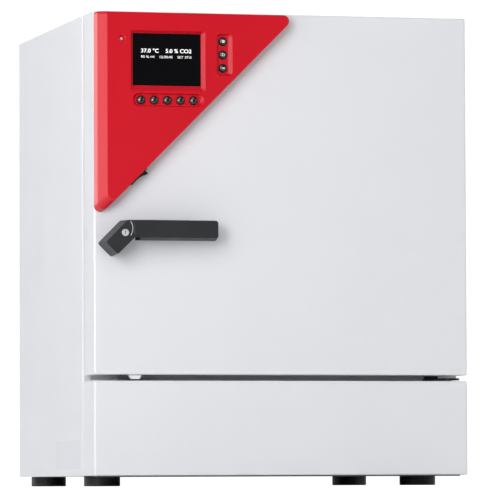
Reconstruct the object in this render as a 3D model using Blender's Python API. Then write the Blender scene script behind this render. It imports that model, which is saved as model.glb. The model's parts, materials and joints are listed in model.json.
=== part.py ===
# Carbon dioxide incubator, benchtop size, in metres with +Z up and the door facing -Y.
import math

import bmesh
import bpy
from mathutils import Matrix, Vector

# Housing
WIDTH = 0.580
DEPTH = 0.550
BODY_HEIGHT = 0.694
FOOT_HEIGHT = 0.0155
FOOT_RADIUS = 0.0275
COVER_HEIGHT = 0.142
COVER_GAP = 0.0086
SHEET = 0.0012
FLANGE = 0.012
BEND = 0.0025
FIT = 0.0003
CORNER_FIT = 0.0008

# Outer door
DOOR_THICKNESS = 0.066
GASKET_GAP = 0.014
DOOR_EDGE = 0.0025
GASKET_WIDTH = 0.016
GASKET_INSET = 0.036
DISH_DEPTH = 0.012
HINGE_SIDE = 0.017
HINGE_BACK = 0.030
PIN_RADIUS = 0.004
NOTCH_DEPTH = 0.0042
NOTCH_WIDTH = 0.080
NOTCH_LIP = 0.008
BRACKET_PLATE = 0.003
BRACKET_REACH = 0.030
BRACKET_HALF = 0.012
BRACKET_LEG = 0.022
HINGE_BLOCK = 0.016
HINGE_BLOCK_WIDTH = 0.044
DISH_INSET = 0.054
GLIDE_SIDE = 0.053

# Chamber and inner door
CHAMBER_SIDE = 0.090
CHAMBER_ENDS = 0.0717
CHAMBER_WIDTH = WIDTH - 2 * CHAMBER_SIDE
CHAMBER_HEIGHT = BODY_HEIGHT - COVER_HEIGHT - COVER_GAP - 2 * CHAMBER_ENDS
CHAMBER_DEPTH = 0.330
CHAMBER_WALL = 0.001
CHAMBER_RADIUS = 0.020
CHAMBER_FLANGE = 0.0145
RIB_COUNT = 5
RIB_FIRST = 0.085
RIB_LAST = 0.075
RIB_PITCH = (CHAMBER_HEIGHT - RIB_FIRST - RIB_LAST) / (RIB_COUNT - 1)
RIB_DEPTH = 0.007
RIB_HALF = 0.004
RIB_SLOPE = 0.003
SHELF_LEVELS = (1, 3)
SHELF_PLATE = 0.0015
SHELF_RIM = 0.009
SHELF_CLEARANCE = 0.002
JACKET = 0.0015
INSULATION = 0.055
SEAL_THICKNESS = 0.0042
GLASS = 0.004
GLASS_HINGE_OFFSET = 0.0085
GLASS_HINGE_HEIGHT = 0.150
PAN_SIZE = (CHAMBER_WIDTH - 0.070, CHAMBER_DEPTH - 0.080, 0.028)

# Control panel: the distances named PROUD are measured outwards from the door's front, and
# what lies on the panel's face grows with it
PANEL_LEG = 0.312
PANEL_DROP = 0.0020
UNIT = PANEL_LEG / 312
PANEL_PROUD = 0.022
PANEL_TIP = 0.009
PANEL_WALL = 0.0025
PANEL_FACE = 0.008
DISPLAY_SIZE = (104 * UNIT, 78 * UNIT)
DISPLAY_PLACE = (108 * UNIT, 71.2 * UNIT)
DISPLAY_DEPTH = 0.005
KEY_ROW = (68 * UNIT, 132 * UNIT)
KEY_PITCH = 20.2 * UNIT
KEY_COUNT = 5
KEY_RADIUS = 6.4 * UNIT
MENU_COLUMN = (194 * UNIT, 42.4 * UNIT)
MENU_PITCH = 20.2 * UNIT
MENU_COUNT = 3
MENU_RADIUS = 5.2 * UNIT
KEY_RECESS = 0.004
KEY_TRAVEL = 0.0015
LAMP_PLACE = (38.5 * UNIT, 41 * UNIT)
LAMP_RADIUS = 0.0022
BOARD_PROUD = 0.0058
BOARD = 0.0016
SWITCH_PLACE = 92.8 * UNIT
SWITCH_LENGTH = 0.0344
SWITCH_WIDTH = 0.0124
SWITCH_TILT = 10.0
SWITCH_PROUD = 0.010
SWITCH_PIVOT = -0.004
SWITCH_ROCKER = 0.0296

# Handle, measured from the door's left and top edges
HANDLE_PROUD = 0.042
LEVER_THICKNESS = 0.018
LEVER_TOP = 0.3128
LEVER_HEIGHT = 0.025
LEVER_SLOPE = 0.0045
LEVER_END = 0.181
PIVOT_SIDE = 0.054
BARREL_RADIUS = 0.009
EAR = 0.0032
HANDLE_PIN_RADIUS = 0.0025
HANDLE_TOE = (0.0090, 0.3460)
HANDLE_FLARE = 0.0025
HANDLE_TOE_WIDTH = 0.026
LOCK_PLACE = (0.0385, 0.3316)
LOCK_RADIUS = 0.0054
LOCK_LENGTH = 0.020
LOCK_PROUD = 0.001

# Rear and inner fittings
FITTING_PROUD = 0.030
POWER_INLET = (0.075 - WIDTH / 2, 0.075)
GAS_INLET = (WIDTH / 2 - 0.075, 0.300)
VENT_ROWS = 6
VENT_WIDTH = 0.090
VENT_PLACE = 0.120
VENT_LOW = 0.050
VENT_PITCH = 0.010
SENSOR_SIDE = 0.120
FOOT_INSET = 0.041
FOOT_FRONT = 0.131
FOOT_REAR = 0.518
SLOT_ROWS = 7
SLOT_COLUMNS = 5
SLOT_PITCH = (0.18 * CHAMBER_WIDTH, 0.038)
SLOT_SIZE = (0.13 * CHAMBER_WIDTH, 0.012)

# Places that follow from the sizes above
HALF = WIDTH / 2
FRONT = (HANDLE_PROUD + LOCK_PROUD - FITTING_PROUD - DEPTH) / 2
REAR = FRONT + DEPTH
DOOR_REAR = FRONT + DOOR_THICKNESS
BODY_FRONT = DOOR_REAR + GASKET_GAP
FLOOR = FOOT_HEIGHT
TOP = FLOOR + BODY_HEIGHT
COVER_TOP = FLOOR + COVER_HEIGHT
DOOR_BOTTOM = COVER_TOP + COVER_GAP
DOOR_HEIGHT = TOP - DOOR_BOTTOM
PANEL_TOP = TOP - PANEL_DROP
DOOR_MIDDLE = DOOR_BOTTOM + DOOR_HEIGHT / 2
PIN = Vector((HALF - HINGE_SIDE, FRONT + HINGE_BACK, DOOR_MIDDLE))
LEVER_Z = PANEL_TOP - LEVER_TOP - LEVER_HEIGHT / 2
HANDLE_PIVOT = Vector((PIVOT_SIDE - HALF, FRONT - HANDLE_PROUD + LEVER_THICKNESS / 2, LEVER_Z))
SEAL_FRONT = BODY_FRONT - FIT - SEAL_THICKNESS
GLASS_FRONT = SEAL_FRONT - FIT - GLASS
GLASS_HALF = CHAMBER_WIDTH / 2 + CHAMBER_FLANGE - 0.0005
GLASS_AXIS = Vector((GLASS_HALF + GLASS_HINGE_OFFSET, BODY_FRONT - 0.0065, DOOR_MIDDLE))
CHAMBER_FLOOR = DOOR_MIDDLE - CHAMBER_HEIGHT / 2
JACKET_HALF = CHAMBER_WIDTH / 2 + CHAMBER_WALL + FIT + JACKET
TONGUE = (0.013 - HALF, LEVER_Z)
SLOPE = Vector((1.0, 0.0, 1.0)).normalized()

for item in list(bpy.data.objects):
    bpy.data.objects.remove(item, do_unlink=True)


# Outlines, each a list of corner pairs that runs anticlockwise
def rectangle(width, height, centre=(0.0, 0.0)):
    u, v = centre
    return [(u - width / 2, v - height / 2), (u + width / 2, v - height / 2),
            (u + width / 2, v + height / 2), (u - width / 2, v + height / 2)]


def span(u0, u1, v0, v1):
    return [(u0, v0), (u1, v0), (u1, v1), (u0, v1)]


def circle(radius, centre=(0.0, 0.0), steps=20):
    turns = [2 * math.pi * (k + 0.5) / steps for k in range(steps)]
    return [(centre[0] + radius * math.cos(turn), centre[1] + radius * math.sin(turn)) for turn in turns]


def hole(radius, centre=(0.0, 0.0), steps=20, clearance=0.00015):
    return circle((radius + clearance) / math.cos(math.pi / steps), centre, steps)


def inset(corners, distances):
    # moves each edge inwards; the edge named k runs from corner k to the next one
    if isinstance(distances, (int, float)):
        distances = [distances] * len(corners)
    lines = []
    for k, corner in enumerate(corners):
        after = corners[(k + 1) % len(corners)]
        along = (Vector(after) - Vector(corner)).normalized()
        inwards = Vector((-along.y, along.x))
        lines.append((Vector(corner) + inwards * distances[k], along))
    result = []
    for k in range(len(corners)):
        start, along = lines[k - 1]
        other, across = lines[k]
        turn = along.x * across.y - along.y * across.x
        reach = ((other.x - start.x) * across.y - (other.y - start.y) * across.x) / turn
        result.append(tuple(start + along * reach))
    return result


def rounded(corners, radii, steps=3):
    if isinstance(radii, (int, float)):
        radii = [radii] * len(corners)
    points = []
    for k, corner in enumerate(corners):
        here = Vector(corner)
        back = (Vector(corners[k - 1]) - here).normalized()
        ahead = (Vector(corners[(k + 1) % len(corners)]) - here).normalized()
        half = back.angle(ahead) / 2
        if radii[k] <= 0:
            points.append(tuple(here))
            continue
        centre = here + (back + ahead).normalized() * radii[k] / math.sin(half)
        first = here + back * radii[k] / math.tan(half) - centre
        last = here + ahead * radii[k] / math.tan(half) - centre
        turn = first.angle_signed(last)
        for step in range(steps + 1):
            angle = -turn * step / steps
            spoke = Matrix.Rotation(angle, 2) @ first
            points.append(tuple(centre + spoke))
    return points


def place(outline, axis, depth):
    if axis == "X":
        return [Vector((depth, u, v)) for u, v in outline]
    if axis == "Y":
        return [Vector((u, depth, v)) for u, v in outline]
    return [Vector((u, v, depth)) for u, v in outline]


# Solids, each a bmesh in world places
def loft(loops, closed=False):
    solid = bmesh.new()
    rows = [[solid.verts.new(point) for point in loop] for loop in loops]
    pairs = list(zip(rows, rows[1:]))
    if closed:
        pairs.append((rows[-1], rows[0]))
    for row, after in pairs:
        for k in range(len(row)):
            n = (k + 1) % len(row)
            solid.faces.new((row[k], row[n], after[n], after[k]))
    if not closed:
        solid.faces.new(rows[0])
        solid.faces.new(rows[-1])
    bmesh.ops.recalc_face_normals(solid, faces=solid.faces)
    return solid


def prism(outline, axis, start, end):
    return loft([place(outline, axis, start), place(outline, axis, end)])


def block(x0, x1, y0, y1, z0, z1):
    return prism(span(x0, x1, y0, y1), "Z", z0, z1)


def turned(profile, axis, centre, steps=20):
    # profile holds pairs of radius and place along the axis
    return loft([place(circle(radius, centre, steps), axis, depth) for radius, depth in profile])


def ring(outer, inner, axis, start, end):
    return loft([place(outer, axis, start), place(outer, axis, end),
                 place(inner, axis, end), place(inner, axis, start)], closed=True)


def tray(corners, radius, wall, axis, face, rim, edge=0.0, steps=3):
    # a sheet tray, closed at its face and open at its rim, its wall even round the bend
    way = math.copysign(1.0, rim - face)
    turns = [(0.0, 1.0), (0.3, 0.3), (1.0, 0.0)] if edge else [(0.0, 0.0)]
    inner_edge = max(edge - wall, 0.0)
    inner_radius = max(radius - wall, 0.0005)
    loops = [place(rounded(inset(corners, side * edge), radius, steps), axis, face + way * back * edge)
             for back, side in turns]
    loops.append(place(rounded(corners, radius, steps), axis, rim))
    loops.append(place(rounded(inset(corners, wall), inner_radius, steps), axis, rim))
    for back, side in reversed(turns):
        outline = rounded(inset(corners, wall + side * inner_edge), inner_radius, steps)
        loops.append(place(outline, axis, face + way * (wall + back * inner_edge)))
    return loft(loops)


def gather(solids):
    # several separate bodies in one mesh, used as one guide
    whole = bmesh.new()
    mesh = bpy.data.meshes.new("gathered")
    for solid in solids:
        solid.to_mesh(mesh)
        solid.free()
        whole.from_mesh(mesh)
    bpy.data.meshes.remove(mesh)
    return whole


# Materials
def paint(name, colour, roughness, metallic=0.0):
    material = bpy.data.materials.new(name)
    material.use_nodes = True
    shader = material.node_tree.nodes["Principled BSDF"]
    shader.inputs["Base Color"].default_value = (*colour, 1.0)
    shader.inputs["Roughness"].default_value = roughness
    shader.inputs["Metallic"].default_value = metallic
    material.diffuse_color = (*colour, 1.0)
    return material


SHEET_WHITE = (0.72, 0.73, 0.75)
STAINLESS = (0.58, 0.58, 0.57)
LOCK_STEEL = (0.75, 0.75, 0.74)
BLACK_PLASTIC = (0.012, 0.012, 0.014)
PANEL_RED = (0.62, 0.008, 0.021)
SILICONE = (0.45, 0.46, 0.47)
FOAM = (0.60, 0.55, 0.36)
WHITE_PLASTIC = (0.78, 0.78, 0.78)
GLASS_TINT = (0.70, 0.80, 0.78)
CIRCUIT_GREEN = (0.02, 0.12, 0.05)


# Objects: the mesh is moved so that its origin lies at the place named at
def add(name, solid, colour, roughness=0.45, metallic=0.0, at=None, parent=None, smooth=True):
    if at is None:
        at = parent["at"] if parent else (0.0, 0.0, 0.0)
    at = Vector(at)
    solid.transform(Matrix.Translation(-at))
    mesh = bpy.data.meshes.new(name)
    solid.to_mesh(mesh)
    solid.free()
    if smooth:
        mesh.shade_smooth()
        mesh.set_sharp_from_angle(angle=math.radians(35))
    piece = bpy.data.objects.new(name, mesh)
    bpy.context.scene.collection.objects.link(piece)
    piece.data.materials.append(paint(name + "_finish", colour, roughness, metallic))
    piece["at"] = at
    attach(piece, parent)
    return piece


def attach(item, parent):
    base = Vector(parent["at"]) if parent else Vector((0.0, 0.0, 0.0))
    item.parent = parent
    item.location = Vector(item["at"]) - base


def axis_empty(name, at, parent=None):
    empty = bpy.data.objects.new(name, None)
    bpy.context.scene.collection.objects.link(empty)
    empty["at"] = Vector(at)
    attach(empty, parent)
    return empty


def shape(piece, solid, operation):
    # a hidden guide that is cut from the piece or joined to it
    mesh = bpy.data.meshes.new(piece.name + "_guide")
    solid.transform(Matrix.Translation(-Vector(piece["at"])))
    solid.to_mesh(mesh)
    solid.free()
    guide = bpy.data.objects.new(mesh.name, mesh)
    bpy.context.scene.collection.objects.link(guide)
    guide.parent = piece
    guide.hide_render = True
    guide.display_type = "WIRE"
    modifier = piece.modifiers.new(operation.lower(), "BOOLEAN")
    modifier.operation = operation
    modifier.solver = "EXACT"
    modifier.object = guide


def cut(piece, solid):
    shape(piece, solid, "DIFFERENCE")


def join(piece, solid):
    shape(piece, solid, "UNION")


# Housing
def side_panel(name, side):
    outer = side * HALF
    lip = side * (HALF - FLANGE)
    inner = side * (HALF - SHEET)
    corners = [(lip, BODY_FRONT), (outer, BODY_FRONT), (outer, REAR), (lip, REAR),
               (lip, REAR - SHEET), (inner, REAR - SHEET), (inner, BODY_FRONT + SHEET), (lip, BODY_FRONT + SHEET)]
    radii = [0, BEND, BEND, 0, 0, BEND - SHEET, BEND - SHEET, 0]
    add(name, prism(rounded(corners, radii), "Z", FLOOR, TOP), SHEET_WHITE, 0.35)


def top_panel():
    front = BODY_FRONT + SHEET + CORNER_FIT
    rear = REAR - SHEET - CORNER_FIT
    corners = [(front, TOP - FLANGE), (front, TOP), (rear, TOP), (rear, TOP - FLANGE),
               (rear - SHEET, TOP - FLANGE),
               (rear - SHEET, TOP - SHEET), (front + SHEET, TOP - SHEET), (front + SHEET, TOP - FLANGE)]
    radii = [0, BEND, BEND, 0, 0, BEND - SHEET, BEND - SHEET, 0]
    half = HALF - SHEET - CORNER_FIT
    add("top_panel", prism(rounded(corners, radii), "X", -half, half), SHEET_WHITE, 0.35)


def rear_panel():
    half = HALF - FLANGE - FIT
    plate = add("rear_panel", block(-half, half, REAR - SHEET, REAR, FLOOR, TOP), SHEET_WHITE, 0.4, smooth=False)
    for outline in (hole(0.008, GAS_INLET, 16), rectangle(0.0276, 0.0206, POWER_INLET)):
        cut(plate, prism(outline, "Y", REAR - 0.01, REAR + 0.01))
    slots = []
    for row in range(VENT_ROWS):
        outline = rounded(rectangle(VENT_WIDTH, 0.004, (VENT_PLACE, VENT_LOW + row * VENT_PITCH)), 0.0019, 2)
        slots.append(prism(outline, "Y", REAR - 0.01, REAR + 0.01))
    cut(plate, gather(slots))


def base_tray():
    half = HALF - SHEET - CORNER_FIT
    middle = (BODY_FRONT + REAR) / 2
    corners = rectangle(2 * half, REAR - BODY_FRONT - 2 * (SHEET + CORNER_FIT), (0.0, middle))
    add("base_tray", tray(corners, BEND, SHEET, "Z", FLOOR, FLOOR + 0.020), (0.30, 0.31, 0.32), 0.5)


def service_floor():
    half = HALF - SHEET - CORNER_FIT
    front = BODY_FRONT + SHEET + CORNER_FIT
    rear = REAR - SHEET - CORNER_FIT
    corners = [(front, COVER_TOP), (front, COVER_TOP - FLANGE), (front + SHEET, COVER_TOP - FLANGE),
               (front + SHEET, COVER_TOP - SHEET), (rear - SHEET, COVER_TOP - SHEET),
               (rear - SHEET, COVER_TOP - FLANGE), (rear, COVER_TOP - FLANGE), (rear, COVER_TOP)]
    add("service_floor", prism(corners, "X", -half, half), (0.55, 0.56, 0.57), 0.4, 0.6)


def front_frame():
    half = HALF - FLANGE - FIT
    outer = rounded(span(-half, half, FLOOR, TOP), 0.0005)
    mouth = 2 * (CHAMBER_WIDTH / 2 + CHAMBER_FLANGE + FIT)
    inner = rounded(rectangle(mouth, mouth + CHAMBER_HEIGHT - CHAMBER_WIDTH, (0.0, DOOR_MIDDLE)), CHAMBER_RADIUS)
    add("front_frame", ring(outer, inner, "Y", BODY_FRONT, BODY_FRONT + SHEET), SHEET_WHITE, 0.35)


def lower_front_cover():
    corners = span(-HALF, HALF, FLOOR, COVER_TOP)
    cover = tray(corners, DOOR_EDGE, SHEET, "Y", FRONT, BODY_FRONT - FIT, DOOR_EDGE)
    add("lower_front_cover", cover, SHEET_WHITE, 0.35)


def foot(name, x, y):
    profile = [(FOOT_RADIUS - 0.001, 0.0), (FOOT_RADIUS, 0.001), (FOOT_RADIUS, FLOOR - FIT - 0.0008),
               (FOOT_RADIUS - 0.0008, FLOOR - FIT)]
    add(name, turned(profile, "Z", (x, y), 28), BLACK_PLASTIC, 0.6)


def feet():
    x = HALF - FOOT_INSET
    for depth, y in (("front", FRONT + FOOT_FRONT), ("rear", FRONT + FOOT_REAR)):
        foot("foot_" + depth + "_left", -x, y)
        foot("foot_" + depth + "_right", x, y)


# Chamber
def chamber_outline(grow, rib, drop):
    # runs anticlockwise from the lower right corner, with one pressed rib for each shelf level
    half = CHAMBER_WIDTH / 2 + grow
    low = -CHAMBER_HEIGHT / 2 - grow
    base = rounded(rectangle(2 * half, 2 * -low), CHAMBER_RADIUS + grow, 3)
    levels = [RIB_FIRST + k * RIB_PITCH - CHAMBER_HEIGHT / 2 for k in range(RIB_COUNT)]
    right = []
    for level in levels:
        right += [(half, level - RIB_HALF - RIB_SLOPE), (half - rib, level - RIB_HALF),
                  (half - rib, level + RIB_HALF - drop), (half, level + RIB_HALF - drop)]
    left = [(-u, v) for u, v in reversed(right)]
    points = base[4:8] + right + base[8:12] + base[12:16] + left + base[0:4]
    return [(u, v + DOOR_MIDDLE) for u, v in points]


def chamber_loop(grow, rib, depth, drop=0.0):
    return place(chamber_outline(grow, rib, drop), "Y", BODY_FRONT + depth)


def inner_chamber():
    back = CHAMBER_DEPTH
    wall = CHAMBER_WALL
    outside = [chamber_loop(wall - 0.008, 0.0, back + wall, wall),
               chamber_loop(wall, 0.0, back + wall - 0.008, wall),
               chamber_loop(wall, 0.0, back - 0.022, wall), chamber_loop(wall, RIB_DEPTH, back - 0.030, wall),
               chamber_loop(wall, RIB_DEPTH, 0.024, wall), chamber_loop(wall, 0.0, 0.016, wall),
               chamber_loop(wall, 0.0, wall, wall)]
    flange = [chamber_loop(CHAMBER_FLANGE, 0.0, wall), chamber_loop(CHAMBER_FLANGE, 0.0, 0.0)]
    inside = [chamber_loop(0.0, 0.0, 0.0), chamber_loop(0.0, 0.0, 0.016), chamber_loop(0.0, RIB_DEPTH, 0.024),
              chamber_loop(0.0, RIB_DEPTH, back - 0.030), chamber_loop(0.0, 0.0, back - 0.022),
              chamber_loop(0.0, 0.0, back - 0.008), chamber_loop(-0.008, 0.0, back)]
    add("inner_chamber", loft(outside + flange + inside), STAINLESS, 0.3, 1.0)


def heating_jacket():
    size = 2 * JACKET_HALF
    tall = size + CHAMBER_HEIGHT - CHAMBER_WIDTH
    outer = rounded(rectangle(size, tall, (0.0, DOOR_MIDDLE)), CHAMBER_RADIUS)
    inner = rounded(inset(rectangle(size, tall, (0.0, DOOR_MIDDLE)), JACKET), CHAMBER_RADIUS)
    add("heating_jacket", ring(outer, inner, "Y", BODY_FRONT + 0.030, BODY_FRONT + CHAMBER_DEPTH - 0.030),
        (0.50, 0.25, 0.08), 0.5)


def chamber_insulation():
    low = COVER_TOP + FIT
    high = TOP - SHEET - FIT
    half = CHAMBER_WIDTH / 2 + INSULATION
    rear = BODY_FRONT + CHAMBER_DEPTH + CHAMBER_WALL + INSULATION
    front = BODY_FRONT + SHEET + CORNER_FIT
    outer = rounded(span(-half, half, low, high), 0.004)
    size = 2 * (JACKET_HALF + FIT)
    cavity = rounded(rectangle(size, size + CHAMBER_HEIGHT - CHAMBER_WIDTH, (0.0, DOOR_MIDDLE)), CHAMBER_RADIUS)
    loops = [place(outer, "Y", rear), place(outer, "Y", front + FLANGE), place(cavity, "Y", front + FLANGE),
             place(cavity, "Y", BODY_FRONT + CHAMBER_DEPTH + CHAMBER_WALL + FIT)]
    add("chamber_insulation", loft(loops), FOAM, 0.9)


def chamber_seal():
    opening = rectangle(CHAMBER_WIDTH, CHAMBER_HEIGHT, (0.0, DOOR_MIDDLE))
    loops = []
    for grow, depth in ((0.0125, -FIT), (0.0105, -FIT - SEAL_THICKNESS), (0.0055, -FIT - SEAL_THICKNESS),
                        (0.0035, -FIT)):
        loops.append(place(rounded(inset(opening, -grow), CHAMBER_RADIUS), "Y", BODY_FRONT + depth))
    add("chamber_seal", loft(loops, closed=True), SILICONE, 0.7)


def shelf(name, level):
    low = CHAMBER_FLOOR + RIB_FIRST + level * RIB_PITCH + RIB_HALF + FIT
    half = CHAMBER_WIDTH / 2 - SHELF_CLEARANCE
    front = BODY_FRONT + 0.018
    rear = BODY_FRONT + CHAMBER_DEPTH - 0.014
    top = low + SHELF_PLATE
    corners = [(front, low - SHELF_RIM), (front + SHELF_PLATE, low - SHELF_RIM), (front + SHELF_PLATE, low),
               (rear, low), (rear, low + SHELF_RIM), (rear - SHELF_PLATE, low + SHELF_RIM),
               (rear - SHELF_PLATE, top), (front, top)]
    plate = add(name, prism(corners, "X", -half, half), STAINLESS, 0.3, 1.0, smooth=False)
    # the front rim passes between the ribs
    for side in (-1, 1):
        near, far = sorted((side * (half - RIB_DEPTH - 0.001), side * (half + 0.01)))
        cut(plate, block(near, far, front - 0.01, front + 0.010, low - 0.02, low - 0.0001))
    slots = []
    for row in range(SLOT_ROWS):
        y = (front + rear) / 2 + (row - (SLOT_ROWS - 1) / 2) * SLOT_PITCH[1]
        for column in range(SLOT_COLUMNS):
            x = (column - (SLOT_COLUMNS - 1) / 2) * SLOT_PITCH[0]
            outline = rounded(rectangle(*SLOT_SIZE, (x, y)), SLOT_SIZE[1] * 0.45, 1)
            slots.append(prism(outline, "Z", low - 0.001, low + 0.003))
    cut(plate, gather(slots))


def water_pan():
    wide, deep, tall = PAN_SIZE
    corners = rectangle(wide, deep, (0.0, BODY_FRONT + CHAMBER_DEPTH / 2))
    low = CHAMBER_FLOOR + FIT
    add("water_pan", tray(corners, 0.015, 0.001, "Z", low, low + tall, 0.004), STAINLESS, 0.25, 1.0)


def climate_sensor():
    rear = BODY_FRONT + CHAMBER_DEPTH - FIT
    profile = [(0.014, rear), (0.014, rear - 0.004), (0.008, rear - 0.005), (0.008, rear - 0.040),
               (0.006, rear - 0.045), (0.003, rear - 0.046)]
    z = CHAMBER_FLOOR + CHAMBER_HEIGHT - 0.032
    add("climate_sensor", turned(profile, "Y", (SENSOR_SIDE, z), 16), WHITE_PLASTIC, 0.5)


# Inner glass door
def glass_hinges(axis):
    for name, height in (("upper", GLASS_HINGE_HEIGHT), ("lower", -GLASS_HINGE_HEIGHT)):
        z = DOOR_MIDDLE + height
        x, y = GLASS_AXIS.x, GLASS_AXIS.y
        leaf = block(x - 0.005, x + 0.012, BODY_FRONT - 0.0021, BODY_FRONT - FIT, z - 0.018, z + 0.018)
        hinge = add("glass_hinge_" + name, leaf, STAINLESS, 0.3, 1.0, smooth=False)
        for low in (z - 0.014, z + 0.009):
            join(hinge, block(x - 0.0035, x + 0.0035, y - 0.003, BODY_FRONT - 0.001, low, low + 0.005))
        join(hinge, prism(circle(0.0022, (x, y), 12), "Z", z - 0.012, z + 0.012))
        knuckle = prism(circle(0.0041, (x, y), 16), "Z", z - 0.0086, z + 0.0086)
        clamp = add("glass_clamp_" + name, knuckle, STAINLESS, 0.3, 1.0, parent=axis)
        plate_front = GLASS_FRONT - FIT - 0.0015
        join(clamp, block(GLASS_HALF - 0.020, x, plate_front, GLASS_FRONT - FIT, z - 0.0086, z + 0.0086))
        cut(clamp, prism(hole(0.0022, (x, y), 12), "Z", z - 0.02, z + 0.02))


def glass_door():
    axis = axis_empty("glass_door_axis", GLASS_AXIS)
    tall = GLASS_HALF + (CHAMBER_HEIGHT - CHAMBER_WIDTH) / 2
    outline = rounded(rectangle(2 * GLASS_HALF, 2 * tall, (0.0, DOOR_MIDDLE)), 0.012)
    pane = prism(outline, "Y", GLASS_FRONT, GLASS_FRONT + GLASS)
    add("glass_pane", pane, GLASS_TINT, 0.05, parent=axis, smooth=False)
    glass_hinges(axis)
    knob_x = -GLASS_HALF + 0.024
    face = GLASS_FRONT - FIT
    profile = [(0.005, face), (0.005, face - 0.004), (0.009, face - 0.006), (0.009, face - 0.010),
               (0.007, face - 0.0115)]
    add("glass_knob", turned(profile, "Y", (knob_x, DOOR_MIDDLE), 20), BLACK_PLASTIC, 0.4, parent=axis)
    x = -GLASS_HALF - 0.0005
    magnet = block(x - 0.014, x, BODY_FRONT - 0.010, BODY_FRONT - FIT, DOOR_MIDDLE - 0.016, DOOR_MIDDLE + 0.016)
    add("glass_catch", magnet, WHITE_PLASTIC, 0.5, smooth=False)


# Outer door
def hinge_notch(extra):
    # room for the upper bracket in the door's top, open to the right and to the rear
    return block(HALF - NOTCH_WIDTH - extra, HALF + 0.01, FRONT + NOTCH_LIP - extra, DOOR_REAR + 0.01,
                 TOP - NOTCH_DEPTH - extra, TOP + 0.01)


def door_outer_skin(axis):
    corners = span(-HALF, HALF, DOOR_BOTTOM, TOP)
    skin = add("door_outer_skin", tray(corners, DOOR_EDGE, SHEET, "Y", FRONT, DOOR_REAR, DOOR_EDGE),
               SHEET_WHITE, 0.35, parent=axis)
    cut(skin, hinge_notch(0.0))
    cut(skin, prism(hole(PIN_RADIUS, PIN.xy, 16, 0.0010), "Z", DOOR_BOTTOM - 0.01, DOOR_BOTTOM + 0.01))


def door_inner_panel(axis):
    edge = inset(span(-HALF, HALF, DOOR_BOTTOM, TOP), SHEET + FIT)
    dish = inset(span(-HALF, HALF, DOOR_BOTTOM, TOP), DISH_INSET)
    sloped = inset(dish, 0.008)
    inner_edge = inset(edge, SHEET)
    floor = DOOR_REAR - DISH_DEPTH
    loops = [(sloped, 0.010, floor), (dish, 0.014, DOOR_REAR), (edge, 0.002, DOOR_REAR), (edge, 0.002, floor),
             (inner_edge, 0.001, floor), (inner_edge, 0.001, DOOR_REAR - SHEET),
             (inset(dish, -SHEET), 0.015, DOOR_REAR - SHEET), (inset(sloped, -SHEET), 0.011, floor - SHEET)]
    solid = loft([place(rounded(corners, radius), "Y", depth) for corners, radius, depth in loops])
    panel = add("door_inner_panel", solid, STAINLESS, 0.35, 1.0, parent=axis)
    cut(panel, hinge_notch(FIT))
    x, z = TONGUE
    cut(panel, block(x + 0.004, x + 0.020, DOOR_REAR - 0.01, DOOR_REAR + 0.01, z - 0.0043, z + 0.0043))


def hinge_block(axis, name, low, high, clearance):
    right = HALF - SHEET - CORNER_FIT
    left = right - HINGE_BLOCK_WIDTH
    solid = block(left, right, FRONT + SHEET + FIT, DOOR_REAR - DISH_DEPTH - SHEET - FIT, low, high)
    part = add(name, solid, (0.35, 0.36, 0.37), 0.4, 0.8, parent=axis, smooth=False)
    cut(part, prism(hole(PIN_RADIUS, PIN.xy, 16, clearance), "Z", low - 0.01, high + 0.01))


def door_insulation(axis):
    gap = SHEET + 2 * FIT
    block_depth = DOOR_REAR - DISH_DEPTH - SHEET - 2 * FIT
    foam = block(-HALF + gap, HALF - gap, FRONT + gap, block_depth, DOOR_BOTTOM + gap, TOP - gap)
    piece = add("door_insulation", foam, FOAM, 0.9, parent=axis, smooth=False)
    left = HALF - SHEET - CORNER_FIT - HINGE_BLOCK_WIDTH - FIT
    cut(piece, block(left, HALF, FRONT, DOOR_REAR, TOP - NOTCH_DEPTH - HINGE_BLOCK - FIT, TOP + 0.01))
    cut(piece, block(left, HALF, FRONT, DOOR_REAR, DOOR_BOTTOM - 0.01, DOOR_BOTTOM + gap + HINGE_BLOCK))
    cut(piece, hinge_notch(FIT + 0.0002))
    x, z = TONGUE
    cut(piece, block(x + 0.003, x + 0.021, block_depth - 0.020, DOOR_REAR, z - 0.0045, z + 0.0045))


def door_gasket(axis):
    outer = inset(span(-HALF, HALF, DOOR_BOTTOM, TOP), GASKET_INSET)
    loops = []
    for side, back in ((0.0, FIT), (0.0, 0.005), (0.003, 0.008), (0.003, GASKET_GAP - FIT),
                       (GASKET_WIDTH - 0.003, GASKET_GAP - FIT), (GASKET_WIDTH - 0.003, 0.008),
                       (GASKET_WIDTH, 0.005), (GASKET_WIDTH, FIT)):
        loops.append(place(rounded(inset(outer, side), 0.012 - side * 0.5), "Y", DOOR_REAR + back))
    add("door_gasket", loft(loops, closed=True), (0.10, 0.10, 0.11), 0.6, parent=axis)


def hinge_bracket(name, low, high, leg_low, leg_high, pin_profile):
    # the pin is riveted into the plate, so both are one piece
    rear = BODY_FRONT - FIT
    x, y, r = PIN.x, PIN.y, BRACKET_HALF
    corners = [(x - r, y - r), (x + r, y - r), (x + r, y + r), (x - 0.006, rear), (x - BRACKET_REACH, rear)]
    plate = prism(rounded(corners, [0.008, 0.008, 0.004, 0, 0]), "Z", low, high)
    bracket = add(name, plate, BLACK_PLASTIC, 0.35, 0.3, smooth=False)
    join(bracket, block(x - BRACKET_REACH + 0.002, x - 0.0065, rear - BRACKET_PLATE, rear, leg_low, leg_high))
    join(bracket, turned(pin_profile, "Z", PIN.xy, 16))


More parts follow.
